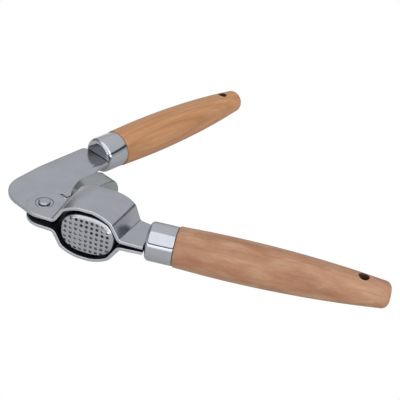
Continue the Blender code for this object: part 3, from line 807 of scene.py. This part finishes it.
def hinge_rivet(material):
    """The rivet's shank with a low domed head at each end."""
    high = span("hinge_rivet", HINGE_AXES)[1]
    top, head = high.z, high.x
    seat = EAR_Z * MM + GAP
    turns = [radians(88 * i / 14) for i in range(15)]
    dome = [(seat + (top - seat) * sin(t) ** 0.6, head * cos(t) ** 0.6) for t in turns]
    half = [(seat, RIVET_SHANK)] + dome
    profile = [(-z, r) for z, r in reversed(half)] + half
    obj = new_object("hinge_rivet_visual", turned_upright(profile))
    place(obj, HINGE_AXES, material, "front_arm")
    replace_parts(obj, "hinge_rivet")
    return obj


def hinge_ring(node, inner, material):
    """A washer, spacer or bush: its outer size and height are the CAD node's."""
    low, high = span(node, HINGE_AXES)
    obj = new_object(node + "_visual", ring_upright(inner, high.x, low.z, high.z))
    place(obj, HINGE_AXES, material, "front_arm")
    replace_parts(obj, node)
    return obj


# ---------------------------------------------------------------- stage

# A painted shadow on the floor: a dark patch under the press's head, fixed in place.
PAINTED_SHADOW_CENTRE = HINGE_AXES @ Vector((15 * MM, 16 * MM, 0))      # the dark patch under the head
PAINTED_SHADOW_SIZE = (18 * MM, 10 * MM, 1)


def aim(obj, location, target):
    obj.location = location
    obj.rotation_euler = (Vector(target) - Vector(location)).to_track_quat("-Z", "Y").to_euler()


def soft_light(name, location, target, size, power):
    light = bpy.data.lights.new(name, "AREA")
    light.shape = "RECTANGLE"
    light.size, light.size_y = size
    light.energy = power
    obj = bpy.data.objects.new(name, light)
    bpy.context.scene.collection.objects.link(obj)
    aim(obj, location, target)


def white_with_painted_shadow_to_camera(tree, surface, output):
    """The camera sees clean white outside a dark painted shadow patch under the head; light and reflections
    see the surface.
    """
    path = tree.nodes.new("ShaderNodeLightPath")
    white = tree.nodes.new("ShaderNodeEmission")
    shadow_patch = texture_space(tree, Matrix.Translation(PAINTED_SHADOW_CENTRE), PAINTED_SHADOW_SIZE)
    distance = tree.nodes.new("ShaderNodeVectorMath")
    distance.operation = "LENGTH"
    tree.links.new(shadow_patch, distance.inputs[0])
    # painted shadow: near black in the middle of the patch, fading to white paper at its edge
    paper_and_painted_shadow = ramp(tree, distance.outputs["Value"], ((0.6, (0.05, 0.05, 0.05)), (1.0, (1, 1, 1))))
    tree.links.new(paper_and_painted_shadow, white.inputs["Color"])
    mix = tree.nodes.new("ShaderNodeMixShader")
    tree.links.new(path.outputs["Is Camera Ray"], mix.inputs["Fac"])
    tree.links.new(surface, mix.inputs[1])
    tree.links.new(white.outputs["Emission"], mix.inputs[2])
    tree.links.new(mix.outputs["Shader"], output)


def make_floor():
    bm = bmesh.new()
    bmesh.ops.create_grid(bm, x_segments=1, y_segments=1, size=FLOOR_HALF)
    floor = new_object("floor", bm)
    floor.location.z = cad_box[0].z - FLOOR_DROP
    mat, tree, shader = new_material("floor_paper_with_painted_shadow", 0.0)
    shader.inputs["Base Color"].default_value = (0.52, 0.52, 0.52, 1)
    shader.inputs["Roughness"].default_value = 0.9
    shader.inputs["Emission Color"].default_value = (1, 1, 1, 1)
    shader.inputs["Emission Strength"].default_value = 0.15
    white_with_painted_shadow_to_camera(tree, shader.outputs["BSDF"], tree.nodes["Material Output"].inputs["Surface"])
    floor.data.materials.append(mat)


def make_world():
    """A pale studio: a bright window in front with a dark bar, a dark card behind right, a dim left wall."""
    world = bpy.data.worlds.new("studio")
    world.use_nodes = True
    tree = world.node_tree
    coordinates = tree.nodes.new("ShaderNodeTexCoord")
    split = tree.nodes.new("ShaderNodeSeparateXYZ")
    tree.links.new(coordinates.outputs["Generated"], split.inputs["Vector"])
    x, y, z = (split.outputs[axis] for axis in "XYZ")
    back = ramp(tree, z, ((0.0, (0.66, 0.67, 0.69)), (0.3, (0.8, 0.81, 0.84)),
                          (0.45, (0.93, 0.95, 0.98)), (1.0, (0.97, 0.98, 1.0))))
    card = ramp(tree, z, ((0.14, (1, 1, 1)), (0.19, (0.12, 0.12, 0.12)),
                          (0.32, (0.12, 0.12, 0.12)), (0.38, (1, 1, 1))))
    card = blend(tree, "LIGHTEN", 1.0, card, fade(tree, x, 0.42, 0.3))
    window = ramp(tree, z, ((0.0, (1.6, 1.62, 1.66)), (0.25, (2.6, 2.64, 2.7)),
                            (0.28, (0.1, 0.1, 0.11)), (0.37, (0.1, 0.1, 0.11)),
                            (0.395, (1.75, 1.78, 1.82)), (1.0, (1.75, 1.78, 1.82))))
    sky = mixed(tree, fade(tree, y, 0.0, 0.05), window, blend(tree, "MULTIPLY", 1.0, back, card))
    left_wall = mixed(tree, fade(tree, x, -0.72, -0.62), shade(tree, 0.4), shade(tree, 1.0))
    tree.links.new(blend(tree, "MULTIPLY", 1.0, sky, left_wall), tree.nodes["Background"].inputs["Color"])
    tree.nodes["Background"].inputs["Strength"].default_value = 0.9
    bpy.context.scene.world = world
    bpy.context.scene.view_settings.view_transform = "Standard"


def make_stage():
    make_floor()
    make_world()
    soft_light("right_side", (0.55, -0.35, 0.35), (0, 0, 0.02), (0.25, 0.5), 0.8)


def make_camera():
    """The studio view: from the front right, looking down at the lying press."""
    data = bpy.data.cameras.new("camera")
    data.lens = CAMERA_LENS
    data.sensor_width = 36.0
    data.clip_start = 0.01
    camera = bpy.data.objects.new("camera", data)
    camera.location = CAMERA_PLACE
    camera.rotation_euler = CAMERA_TURN
    bpy.context.scene.collection.objects.link(camera)
    bpy.context.scene.camera = camera


# ---------------------------------------------------------------- assembly

def build():
    mats = make_materials()
    for word, side in (("top", 1), ("bottom", -1)):
        # outer face, rim lightened as a painted highlight, inner face darkened as painted shade
        sheet = (mats["shell"], mats["rim"], mats["inner"])
        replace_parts(front_shell("front_shell_" + word + "_visual", side, sheet), "front_shell_" + word)
        # the spacers between the ears in the painted shade steel
        hinge_ring("hinge_spacer_" + word, SPACER_BORE, mats["inner"])
        hinge_ring("hinge_washer_" + word, RIVET_BORE, mats["shell"])
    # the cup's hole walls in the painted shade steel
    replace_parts(strainer_cup(mats["cup"], mats["inner"]), "strainer_cup")
    hinge_rivet(mats["shell"])
    # the bush in the painted shade steel
    hinge_ring("hinge_bush", RIVET_BORE, mats["inner"])
    lever(mats["lever"])
    plunger_cap(mats["plunger"])
    # the plunger's pin in the painted shade steel
    plunger_pin(mats["inner"])
    for word, body in (("front", "front_arm"), ("rear", "rear_arm")):
        ferrule(word, mats[word + "_ferrule"], body)
        wooden_handle(word, mats[word + "_wood"], mats["painted_shade_bore_wood"], body)
    carried_over = ("front_tongue_top", "front_tongue_bottom", "front_tang_rod", "rear_tang_rod",
                    "plunger_bracket")
    # the carried-over tongues, rods and bracket in the painted shade steel
    for node in carried_over:
        carried = frame["nodes"][node]
        carried.data.materials.clear()
        carried.data.materials.append(mats["inner"])


build()
make_stage()
make_camera()
